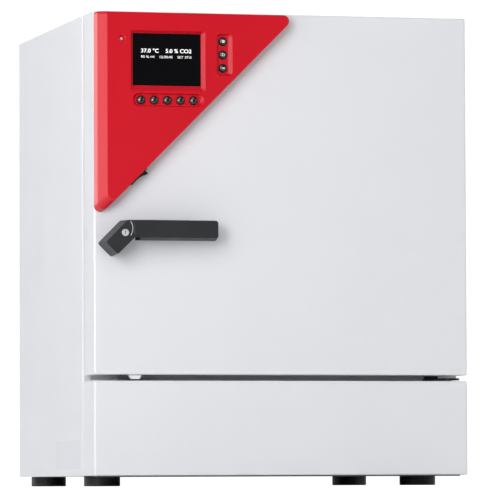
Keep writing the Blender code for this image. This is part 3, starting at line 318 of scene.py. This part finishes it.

# satin chrome on the lock's face; on the arc beside it the bright chrome is a painted highlight
addSurface("satinChrome",
           {"dark": "#e6e7e9", "light": "#f6f7f8", "grain": 0.5, "tone": 12, "rough": (0.40, 0.48),
            "depth": 0.004},
           {"Metallic": 1.0})
# display cover: black behind glossy polycarbonate, with a trace of blue from the unlit screen
addSurface("displayPolycarbonate",
           {"dark": "#030305", "light": "#060609", "grain": 30, "tone": 60, "rough": (0.06, 0.10),
            "depth": 0.002, "strength": 0.1},
           {"IOR": 1.58, "Specular IOR Level": 0.15})
# unlit signal lamp: a lens painted pale pink to near white, a painted reflection of the room on the glossy
# dimple
addSurface("lampLensClear",
           {"dark": "#f0b8b8", "light": "#ffdede", "grain": 1, "tone": 3, "rough": (0.08, 0.16),
            "depth": 0.01},
           {"IOR": 1.49, "Transmission Weight": 0.15, "Coat Weight": 0.6})
print("all finishes made:", len(finishes))

# which finish each part of the model wears
nodeFinishes = {
    "powderCoatWhite": ("left_side_panel", "right_side_panel", "top_panel", "rear_panel", "front_frame",
                        "lower_front_cover", "door_outer_skin"),
    "powderCoatGrey": ("base_tray", "service_floor"),
    "brushedStainless": ("door_inner_panel", "shelf_1", "shelf_2", "glass_hinge_upper", "glass_hinge_lower",
                         "glass_clamp_upper", "glass_clamp_lower", "handle_pin", "latch_tongue",
                         "water_pan"),
    "drawnStainless": ("inner_chamber",),
    "zincPlate": ("latch_keeper", "upper_hinge_block", "lower_hinge_block", "display_module"),
    "electroCoatBlack": ("upper_hinge_bracket", "lower_hinge_bracket"),
    "mouldedNylonBlack": ("handle_lever", "handle_base", "glass_knob", "power_inlet", "glide_ramp",
                          "switch_casing"),
    "polishedAbsBlack": ("switch_rocker", "soft_key_1", "soft_key_2", "soft_key_3", "soft_key_4",
                         "soft_key_5", "menu_key_1", "menu_key_2", "menu_key_3"),
    "mouldedAbsRed": ("panel_housing",),
    "mouldedAcetalWhite": ("door_glide", "climate_sensor", "glass_catch"),
    "mouldedRubberBlack": ("foot_front_left", "foot_front_right", "foot_rear_left", "foot_rear_right"),
    "extrudedRubberGrey": ("door_gasket",),
    "siliconeGrey": ("chamber_seal",),
    "openCellFoam": ("chamber_insulation", "door_insulation"),
    "polyimideHeater": ("heating_jacket",),
    "toughenedGlass": ("glass_pane",),
    "displayPolycarbonate": ("display_window",),
    "solderMaskGreen": ("controller_board",),
    "lampLensClear": ("status_lamp",),
    "satinChrome": ("lock_cylinder",),
    "turnedBrass": ("gas_inlet",),
}
for finishName, names in nodeFinishes.items():
    for name in names:
        for place in nodes[name].material_slots:
            place.material = finishes[finishName]
dressed = sum(len(names) for names in nodeFinishes.values())
print("dressed", dressed, "of", len(nodes), "nodes of the model")


# stage: a pale floor, with a white wash over it and a plain white surround that only the camera sees
studio = {
    "floorSize": 14, "floorSides": 96, "floorColour": "#f4f4f4", "floorShade": "#eeeeee",
    "floorWash": 0.9, "washRise": 0.0001,
    "surroundRadius": 30, "surroundSides": 48, "surroundRings": 24,
    "glow": (1.02, 1.1), "glowScale": 0.05,
    "roomLight": 0.2,
}


def addDisc(name, plan, rise):
    bpy.ops.object.select_all(action="DESELECT")
    bpy.ops.mesh.primitive_circle_add(vertices=plan["floorSides"], radius=plan["floorSize"] / 2,
                                      fill_type="NGON", location=(0, 0, rise))
    disc = bpy.context.active_object
    disc.name = name
    return disc


def addStage(plan):
    floor = addDisc("studioFloor", plan, 0)
    addSurface("studioFloorPaint",
               {"dark": plan["floorShade"], "light": plan["floorColour"], "grain": 4, "tone": 400,
                "rough": (0.8, 0.9), "depth": 0.02},
               {"Specular IOR Level": 0.1})
    floor.data.materials.append(finishes["studioFloorPaint"])
    wash = addDisc("studioWash", plan, plan["washRise"])
    bpy.ops.object.select_all(action="DESELECT")
    bpy.ops.mesh.primitive_uv_sphere_add(segments=plan["surroundSides"], ring_count=plan["surroundRings"],
                                         radius=plan["surroundRadius"])
    surround = bpy.context.active_object
    surround.name = "studioSurround"
    for item, opacity in ((wash, plan["floorWash"]), (surround, 1.0)):
        tree, shader, coords = newFinish(item.name + "White",
                                         {"Emission Strength": 1.0, "Roughness": 1.0,
                                          "Base Color": (0, 0, 0, 1), "Alpha": opacity})
        evenness = addNode(tree, "ShaderNodeTexNoise", {"Scale": plan["glowScale"]}, {"Vector": coords})
        glow = addNode(tree, "ShaderNodeValToRGB", links={"Fac": evenness.outputs["Fac"]})
        for stop, level in enumerate(plan["glow"]):
            glow.color_ramp.elements[stop].color = (level, level, level, 1)
        tree.links.new(glow.outputs["Color"], shader.inputs["Emission Color"])
        item.data.materials.append(finishes[item.name + "White"])
        item.visible_diffuse = False
        item.visible_glossy = False
        item.visible_transmission = False
        item.visible_shadow = False
    world = bpy.data.worlds.new("studioRoom")
    scene.world = world
    world.use_nodes = True
    room = world.node_tree.nodes["Background"]
    room.inputs["Color"].default_value = (1, 1, 1, 1)
    room.inputs["Strength"].default_value = plan["roomLight"]


addStage(studio)

# lights: large soft boxes at the front and left, a tall strip for the red bevel, and weaker ones for
# the other sides
softBoxes = {
    "keyBox": {"place": (-2.9, -3.5, 1.9), "size": 1.6, "power": 56, "aim": (0, -0.2, 0.4)},
    "frontBox": {"place": (-1.4, -5.2, 4.2), "size": 3.2, "power": 86, "aim": (0, -0.2, 0.35)},
    "bevelStrip": {"place": (-2.0, -3.3, 0.55), "size": 0.4, "tall": 1.7, "power": 44,
                   "aim": (-0.15, -0.3, 0.5)},
    "fillBox": {"place": (4.2, -2.6, 1.4), "size": 2.2, "power": 24, "aim": (0, -0.2, 0.35)},
    "edgeStrip": {"place": (-3.0, 2.7, 1.0), "size": 1.6, "power": 27, "aim": (-0.29, 0, 0.4)},
    "sideBox": {"place": (-4.2, 0.2, 2.4), "size": 1.6, "power": 48, "aim": (-0.29, 0, 0.35)},
    "rightBox": {"place": (3.6, 2.2, 2.0), "size": 2.0, "power": 70, "aim": (0.29, 0.05, 0.35)},
    "topBox": {"place": (0.6, 1.6, 4.4), "size": 2.2, "power": 45, "aim": (0, 0.05, 0.7)},
    "sheenStrip": {"place": (-3.6, -1.9, 0.7), "size": 1.2, "power": 14, "aim": (-0.29, -0.3, 0.5)},
}


def addLights(boxes):
    for name, box in boxes.items():
        bpy.ops.object.light_add(type="AREA", location=box["place"])
        light = bpy.context.active_object
        light.name = name
        light.data.size = box["size"]
        light.data.energy = box["power"]
        if "tall" in box:
            light.data.shape = "RECTANGLE"
            light.data.size_y = box["tall"]
        light.rotation_mode = "QUATERNION"
        light.rotation_quaternion = (Vector(box["aim"]) - Vector(box["place"])).to_track_quat("-Z", "Y")


addLights(softBoxes)
print("stage and lights set")


# new pieces are shaped in edit mode, then their place is put into the mesh
def startPiece(name, kind, **start):
    bpy.ops.object.select_all(action="DESELECT")
    getattr(bpy.ops.mesh, "primitive_" + kind + "_add")(**start)
    piece = bpy.context.active_object
    piece.name = name
    bpy.ops.object.mode_set(mode="EDIT")
    bpy.ops.mesh.select_mode(type="FACE")
    bpy.ops.mesh.select_all(action="DESELECT")
    return piece


def resizeAll(size):
    bpy.ops.mesh.select_all(action="SELECT")
    bpy.ops.transform.resize(value=size)


def facesUp(middle, normal):
    return normal.z > 0.9


def pickFaces(piece, wanted):
    bpy.ops.mesh.select_all(action="DESELECT")
    shape = bmesh.from_edit_mesh(piece.data)
    for face in shape.faces:
        if wanted(face.calc_center_median(), face.normal):
            face.select_set(True)
    bmesh.update_edit_mesh(piece.data)


def pickEdges(piece, wanted):
    bpy.ops.mesh.select_mode(type="EDGE")
    bpy.ops.mesh.select_all(action="DESELECT")
    shape = bmesh.from_edit_mesh(piece.data)
    for edge in shape.edges:
        edge.select_set(wanted(edge))
    bmesh.update_edit_mesh(piece.data)


smoothAngle = 35   # degrees; sharper edges than this stay sharp


def finishPiece(piece, finishName, body):
    if bpy.context.mode == "EDIT_MESH":
        bpy.ops.mesh.select_all(action="SELECT")
        bpy.ops.mesh.normals_make_consistent(inside=False)
        bpy.ops.object.mode_set(mode="OBJECT")
    bpy.ops.object.select_all(action="DESELECT")
    bpy.context.view_layer.objects.active = piece
    piece.select_set(True)
    for modifier in list(piece.modifiers):
        bpy.ops.object.modifier_apply(modifier=modifier.name)
    bpy.ops.object.transform_apply(location=True, rotation=True, scale=True)
    bpy.ops.object.shade_smooth_by_angle(angle=math.radians(smoothAngle))
    piece.data.materials.clear()
    piece.data.materials.append(finishes[finishName])
    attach(piece, body)


def copyTo(piece, places):
    # the first stays where it is; each copy has its own mesh, and all become one piece
    bpy.ops.object.mode_set(mode="OBJECT")
    start = Vector(piece.location)
    for spot in places[1:]:
        bpy.ops.object.select_all(action="DESELECT")
        bpy.context.view_layer.objects.active = piece
        piece.select_set(True)
        bpy.ops.object.duplicate(linked=False)
        bpy.context.active_object.location = start + Vector(spot) - Vector(places[0])
        bpy.context.active_object["copied"] = True
    bpy.ops.object.select_all(action="DESELECT")
    for item in scene.objects:
        if item.get("copied"):
            del item["copied"]
            item.select_set(True)
    piece.select_set(True)
    bpy.context.view_layer.objects.active = piece
    bpy.ops.object.join()


# screws: low pan heads with a rolled edge and a round drive
screwShape = {
    "headHeight": 0.55, "rim": 0.16, "drive": 0.45,   # shares of the head's radius
    "crown": 0.3, "driveDepth": 0.6,                  # shares of its height
    "sides": 20,
}


def addScrews(name, places, facing, radius, body):
    height = radius * screwShape["headHeight"]
    screw = startPiece(name, "cylinder", vertices=screwShape["sides"], radius=radius, depth=height)
    pickFaces(screw, facesUp)
    bpy.ops.mesh.inset(thickness=radius * screwShape["rim"])
    bpy.ops.transform.translate(value=(0, 0, height * screwShape["crown"]))
    bpy.ops.mesh.inset(thickness=radius * (1 - screwShape["rim"] - screwShape["drive"]))
    sunk = (0, 0, -height * screwShape["driveDepth"])
    bpy.ops.mesh.extrude_region_move(TRANSFORM_OT_translate={"value": sunk})
    bpy.ops.object.mode_set(mode="OBJECT")
    screw.rotation_euler = Vector(facing).to_track_quat("Z", "Y").to_euler()
    screw.location = Vector(places[0]) + Vector(facing) * (height / 2)
    copyTo(screw, places)
    finishPiece(screw, "zincPlate", body)


rearScrews = {"edge": 0.012, "levels": (0.035, 0.19, 0.36, 0.53, 0.69), "top": (-0.13, 0.13),
              "radius": 0.0042}
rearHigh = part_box("rear_panel")[1]
rearSpots = [(side * (rearHigh.x - rearScrews["edge"]), rearHigh.y, level)
             for side in (-1, 1) for level in rearScrews["levels"]]
rearSpots += [(across, rearHigh.y, rearHigh.z - rearScrews["edge"]) for across in rearScrews["top"]]
addScrews("rear_panel_screws", rearSpots, (0, 1, 0), rearScrews["radius"], "housing")

bracketScrews = {"belowTop": 0.0145, "aboveFoot": 0.0125, "steps": (0.0075, 0.0180), "sunk": 0.003,
                 "radius": 0.0034}
for end in ("upper", "lower"):
    low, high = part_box(end + "_hinge_bracket")
    legZ = high.z - bracketScrews["belowTop"] if end == "upper" else low.z + bracketScrews["aboveFoot"]
    spots = [(low.x + step, high.y - bracketScrews["sunk"], legZ) for step in bracketScrews["steps"]]
    addScrews(end + "_bracket_screws", spots, (0, -1, 0), bracketScrews["radius"], "housing")

doorScrews = {"edge": 0.019, "levels": (0.20, 0.29, 0.47, 0.56, 0.65), "across": (-0.18, -0.06, 0.06, 0.18),
              "radius": 0.0032}
low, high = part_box("door_inner_panel")
doorSpots = [(side * (high.x - doorScrews["edge"]), high.y, level)
             for side in (-1, 1) for level in doorScrews["levels"]]
doorSpots += [(across, high.y, level) for across in doorScrews["across"]
              for level in (low.z + doorScrews["edge"], high.z - doorScrews["edge"])]
addScrews("door_panel_screws", doorSpots, (0, 1, 0), doorScrews["radius"], "outer_door")

keeperScrews = {"inset": 0.0105, "sunk": 0.0025, "edge": 0.0018, "radius": 0.0015}
low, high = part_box("latch_keeper")
keeperSpots = [(high.x - keeperScrews["inset"], high.y - keeperScrews["sunk"], level)
               for level in (low.z + keeperScrews["edge"], high.z - keeperScrews["edge"])]
addScrews("keeper_screws", keeperSpots, (0, -1, 0), keeperScrews["radius"], "housing")
print("screws set")


# short open tubes with rounded rims, for the hinge bush and the key collars
tubeShape = {"sides": 40, "rim": 0.3, "rimSteps": 3}   # rim is a share of the wall or the length


def addTube(name, centre, facing, plan, length, finishName, body):
    tube = startPiece(name, "cylinder", vertices=tubeShape["sides"], radius=plan["inner"], depth=length,
                      end_fill_type="NOTHING")
    bpy.ops.object.mode_set(mode="OBJECT")
    thick = tube.modifiers.new("wall", "SOLIDIFY")
    thick.thickness = plan["wall"]
    thick.offset = 1
    rim = tube.modifiers.new("rim", "BEVEL")
    rim.width = min(plan["wall"], length) * tubeShape["rim"]
    rim.segments = tubeShape["rimSteps"]
    tube.rotation_euler = Vector(facing).to_track_quat("Z", "Y").to_euler()
    tube.location = centre
    finishPiece(tube, finishName, body)


# lower hinge: a white bush round the collar, the only light thing in the gap under the door; its white is a
# painted highlight for the glint on the bright pin
hingeGlintBush = {"bracketHalf": 0.012, "inner": 0.00755, "wall": 0.0004, "plate": 0.0028, "clear": 0.0004}
low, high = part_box("lower_hinge_bracket")
bottom = low.z + hingeGlintBush["plate"] + hingeGlintBush["clear"]
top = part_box("door_outer_skin")[0].z - hingeGlintBush["clear"]
bushCentre = (high.x - hingeGlintBush["bracketHalf"], low.y + hingeGlintBush["bracketHalf"], (bottom + top) / 2)
addTube("hinge_bush", bushCentre, (0, 0, 1), hingeGlintBush, top - bottom, "mouldedAcetalWhite", "housing")
print("hinge bush set")


# control panel: white figures on the dark screen
screenPlace = {"middle": -0.1826, "wide": 0.0774, "proud": 0.00006, "thick": 0.00004}
screenText = {
    "screen_reading": {"words": "37.0 °C    5.0 % CO2", "height": 0.6492, "size": 0.0082, "bold": 0.00009},
    "screen_clock": {"words": "95 % rH    12:30:45    SET 37.0", "height": 0.6402, "size": 0.0050, "bold": 0},
}


def addLettering(name, line, place):
    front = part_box("display_window")[0].y - place["proud"]
    bpy.ops.object.select_all(action="DESELECT")
    bpy.ops.object.text_add(location=(place["middle"], front, line["height"]), rotation=(math.pi / 2, 0, 0))
    lettering = bpy.context.active_object
    lettering.name = name
    lettering.data.body = line["words"]
    lettering.data.size = line["size"]
    lettering.data.align_x = "CENTER"
    lettering.data.align_y = "CENTER"
    lettering.data.extrude = place["thick"]
    lettering.data.offset = line["bold"]
    bpy.context.view_layer.update()
    lettering.scale.x = place["wide"] / lettering.dimensions.x
    bpy.ops.object.convert(target="MESH")
    finishPiece(bpy.context.active_object, "screenInkWhite", "outer_door")


for name, line in screenText.items():
    addLettering(name, line, screenPlace)
print("screen lettering set")


# marks on the menu keys: three bars, a ring, two bars; each is laid onto the key's dome
keyMark = {"wide": 0.0046, "bar": 0.0006, "pitch": 0.0016, "cuts": 7, "ring": 0.0021, "ringLine": 0.8,
           "ringSides": 28, "height": 0.00008, "before": 0.002}


def layOnKey(mark, key):
    bpy.ops.object.transform_apply(location=True, rotation=True, scale=True)
    wrap = mark.modifiers.new("ontoKey", "SHRINKWRAP")
    wrap.target = nodes[key]
    wrap.wrap_method = "PROJECT"
    wrap.use_project_y = True
    wrap.use_project_z = False
    wrap.use_positive_direction = True
    wrap.offset = keyMark["height"]
    finishPiece(mark, "screenInkWhite", key + "_body")


def addKeyBars(key, count):
    low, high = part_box(key)
    centre = (low + high) / 2
    front = low.y - keyMark["before"]
    levels = [centre.z + (step - (count - 1) / 2) * keyMark["pitch"] for step in range(count)]
    bar = startPiece(key + "_mark", "plane", size=1, location=(centre.x, front, levels[0]),
                     rotation=(math.pi / 2, 0, 0))
    resizeAll((keyMark["wide"], 1, keyMark["bar"]))
    bpy.ops.mesh.subdivide(number_cuts=keyMark["cuts"])
    copyTo(bar, [(centre.x, front, level) for level in levels])
    layOnKey(bar, key)


def addKeyRing(key):
    low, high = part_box(key)
    centre = (low + high) / 2
    ring = startPiece(key + "_mark", "circle", vertices=keyMark["ringSides"], radius=keyMark["ring"],
                      fill_type="NGON", location=(centre.x, low.y - keyMark["before"], centre.z),
                      rotation=(math.pi / 2, 0, 0))
    bpy.ops.mesh.select_all(action="SELECT")
    bpy.ops.mesh.inset(thickness=keyMark["bar"] * keyMark["ringLine"])
    bpy.ops.mesh.delete(type="FACE")
    bpy.ops.object.mode_set(mode="OBJECT")
    layOnKey(ring, key)


addKeyBars("menu_key_1", 3)
addKeyRing("menu_key_2")
addKeyBars("menu_key_3", 2)
print("key marks set")

# a moulded black collar on the floor of the recess, round each menu key
keyCollar = {"inner": 0.0056, "wall": 0.0013, "high": 0.0005, "recess": 0.0040}
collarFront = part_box("panel_housing")[0].y + keyCollar["recess"] - keyCollar["high"]
for key in ("menu_key_1", "menu_key_2", "menu_key_3"):
    low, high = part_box(key)
    centre = ((low.x + high.x) / 2, collarFront + keyCollar["high"] / 2, (low.z + high.z) / 2)
    addTube(key + "_collar", centre, (0, -1, 0), keyCollar, keyCollar["high"], "polishedAbsBlack",
            "outer_door")
print("key collars set")


# handle: a thin bright arc beside the lock, inlaid in the face of the fixed base, a painted highlight where
# the lever's end wall catches the light
handleHighlightArc = {"middle": (-0.2600, 0.3821), "radius": 0.0196, "wide": 0.0009, "proud": 0.0002, "half": 33,
             "steps": 20}


def addHighlightArc(plan):
    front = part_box("handle_base")[0].y
    x, z = plan["middle"]
    half = math.radians(plan["half"])
    arc = startPiece("handle_arc", "plane", size=1,
                     location=(x + plan["radius"], front - plan["proud"] / 2, z))
    resizeAll((plan["wide"], plan["proud"], 1))
    bpy.ops.transform.rotate(value=-half, orient_axis="Y", center_override=(x, front, z))
    bpy.ops.mesh.spin(steps=plan["steps"], angle=2 * half, center=(x, front, z), axis=(0, 1, 0))
    finishPiece(arc, "satinChrome", "outer_door")


addHighlightArc(handleHighlightArc)

# lock: a dark leaf at the bottom of the keyway, painted shade for the dark inside of the slot
keywayShade = {"wide": 0.0011, "tall": 0.0054, "deep": 0.0009, "long": 0.003, "rim": 0.0002, "dish": 0.0004}


def addKeywayShade(plan):
    low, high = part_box("lock_cylinder")
    centre = (low + high) / 2
    leaf = startPiece("keyway_leaf", "cube", size=1,
                      location=(centre.x, low.y + plan["deep"] + plan["long"] / 2, centre.z))
    resizeAll((plan["wide"], plan["long"], plan["tall"]))
    pickFaces(leaf, lambda middle, normal: normal.y < -0.9)
    bpy.ops.mesh.inset(thickness=plan["rim"])
    bpy.ops.transform.translate(value=(0, plan["dish"], 0))
    finishPiece(leaf, "mouldedNylonBlack", "lock")


addKeywayShade(keywayShade)
print("handle details set")


# blank plates: a film on the left side and an aluminium one at the rear, with nothing on them
blankPlates = {
    "side_rating_film": {"low": (-0.171, 0.0256), "high": (0.002, 0.0692), "thick": 0.00006, "radius": 0.002,
                         "finish": "polyesterFilm", "slot": "white_plastic", "side": "left"},
    "rear_rating_plate": {"low": (-0.185, 0.105), "high": (-0.085, 0.165), "thick": 0.0008, "radius": 0.003,
                          "finish": "anodisedAluminium", "slot": "zinc_steel", "side": "rear"},
}
plateEdge = {"steps": 4, "inset": 0.6}   # inset is a share of the corner's radius


def addBlankPlate(name, plan):
    wide = plan["high"][0] - plan["low"][0]
    tall = plan["high"][1] - plan["low"][1]
    across = (plan["high"][0] + plan["low"][0]) / 2
    level = (plan["high"][1] + plan["low"][1]) / 2
    plate = startPiece(name, "cube", size=1)
    resizeAll((wide, tall, plan["thick"]))
    pickEdges(plate, lambda edge: abs(edge.verts[0].co.z - edge.verts[1].co.z) > plan["thick"] / 2)
    bpy.ops.mesh.bevel(offset=plan["radius"], segments=plateEdge["steps"], affect="EDGES")
    bpy.ops.mesh.select_mode(type="FACE")
    pickFaces(plate, facesUp)
    bpy.ops.mesh.inset(thickness=plan["radius"] * plateEdge["inset"])
    bpy.ops.object.mode_set(mode="OBJECT")
    if plan["side"] == "left":
        plate.rotation_euler = (math.pi / 2, 0, -math.pi / 2)
        plate.location = (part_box("left_side_panel")[0].x - plan["thick"] / 2, across, level)
    else:
        plate.rotation_euler = (math.pi / 2, 0, math.pi)
        plate.location = (across, rearHigh.y + plan["thick"] / 2, level)
    finishPiece(plate, plan["finish"], "housing")


for name, plan in blankPlates.items():
    addBlankPlate(name, plan)
print("blank plates set")


# lower cover: a rubber edging under its lower edge, a dark strip of painted shade that shows as a dark line
# above the floor
coverShadeLip = {"left": 0.003, "right": 0.012, "back": 0.0014, "deep": 0.006, "high": 0.0017, "round": 0.0006,
            "roundSteps": 3}


def addCoverShadeLip(plan):
    low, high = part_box("lower_front_cover")
    wide = high.x - low.x - plan["left"] - plan["right"]
    centre = (low.x + plan["left"] + wide / 2, low.y + plan["back"] + plan["deep"] / 2,
              low.z - plan["high"] / 2)
    lip = startPiece("cover_lip", "cube", size=1, location=centre)
    resizeAll((wide, plan["deep"], plan["high"]))

    def longBelow(edge):
        first, last = edge.verts
        return abs(first.co.x - last.co.x) > wide / 2 and first.co.z < 0

    pickEdges(lip, longBelow)
    bpy.ops.mesh.bevel(offset=plan["round"], segments=plan["roundSteps"], affect="EDGES")
    finishPiece(lip, "extrudedRubberGrey", "housing")


addCoverShadeLip(coverShadeLip)
print("cover lip set")


# door: a folded liner closes the hinge notch over the insulation, with two turned-up edges
notchLiner = {"left": 0.2104, "right": 0.2436, "front": -0.2601, "rear": -0.2162, "floor": 0.7052,
              "sheet": 0.0008, "edge": 0.0030, "round": 0.0003, "roundSteps": 2}


def addNotchLiner(plan):
    wide, deep = plan["right"] - plan["left"], plan["rear"] - plan["front"]
    centre = (plan["left"] + wide / 2, plan["front"] + deep / 2, plan["floor"] + plan["sheet"] / 2)
    liner = startPiece("notch_liner", "cube", size=1, location=centre)
    resizeAll((wide, deep, plan["sheet"]))
    pickFaces(liner, facesUp)
    bpy.ops.mesh.inset(thickness=plan["sheet"])

    def leftOrFront(middle, normal):
        beside = middle.x < plan["sheet"] - wide / 2 or middle.y < plan["sheet"] - deep / 2
        return facesUp(middle, normal) and beside

    pickFaces(liner, leftOrFront)
    bpy.ops.mesh.extrude_region_move(TRANSFORM_OT_translate={"value": (0, 0, plan["edge"])})

    def rimEdge(edge):
        # an edge round the top of the turned-up strips, between a level face and an upright one
        top = min(end.co.z for end in edge.verts) > plan["edge"] / 2
        return top and len({round(face.normal.z) for face in edge.link_faces}) == 2

    pickEdges(liner, rimEdge)
    bpy.ops.mesh.bevel(offset=plan["round"], segments=plan["roundSteps"], affect="EDGES")
    finishPiece(liner, "powderCoatWhite", "outer_door")


addNotchLiner(notchLiner)
print("notch liner set")
